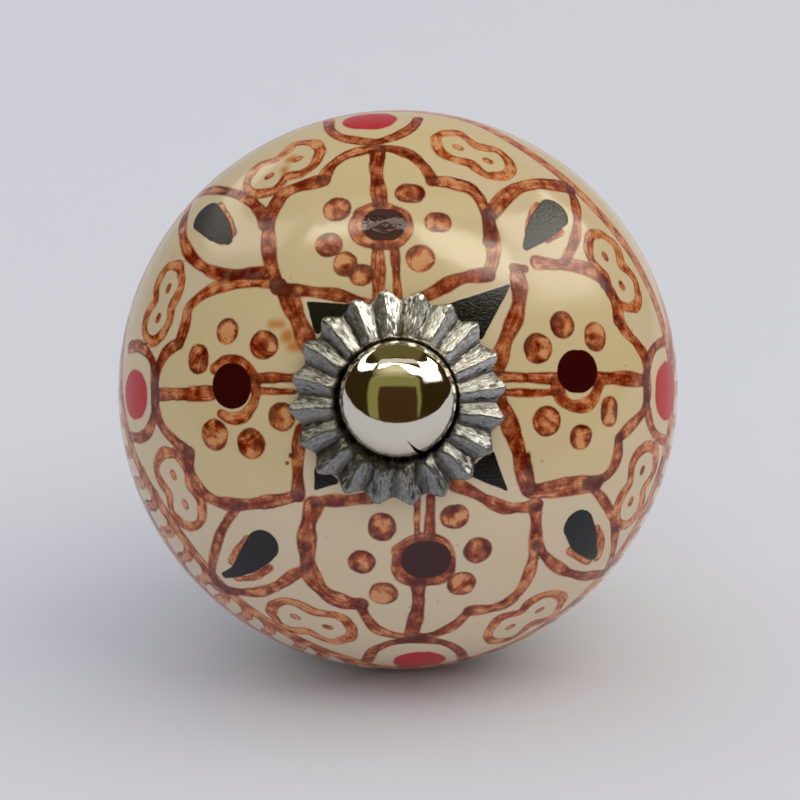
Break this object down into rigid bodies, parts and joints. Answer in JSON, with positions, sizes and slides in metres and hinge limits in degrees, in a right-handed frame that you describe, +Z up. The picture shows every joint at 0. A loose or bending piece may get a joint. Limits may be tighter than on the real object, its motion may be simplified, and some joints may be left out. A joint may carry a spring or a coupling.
{
  "type": "ceramic cabinet knob",
  "caption": "Round glazed ceramic knob with a painted folk pattern, a fluted metal rosette, a capped through bolt, and a flanged back ferrule with washer and nut.",
  "frame": {"origin": "centre of the mounting face: the plane of the back ferrule's flange, on the bolt's axis", "axes": "+Y along the bolt, into the drawer or door; -Y is the front of the knob, towards the user; +Z up; +X to the right of someone who faces the knob"},
  "size_m": [0.04, 0.0563, 0.04],
  "materials": {
    "glazed_ceramic": "gloss glaze over hand-painted brown, maroon, black and red ornament on ivory",
    "rosette_metal": "dull plated pressed sheet",
    "cap_nickel": "bright nickel plate",
    "bolt_steel": "zinc-plated rolled thread",
    "ferrule_nickel": "nickel-plated pressed sheet",
    "zinc_steel": "zinc plate"
  },
  "bodies": {
    "root": {"ceramic_body": "glazed_ceramic", "front_rosette": "rosette_metal", "dome_cap": "cap_nickel", "through_bolt": "bolt_steel", "back_ferrule": "ferrule_nickel", "nut_washer": "zinc_steel", "hex_nut": "zinc_steel"}
  },
  "joints": []
}
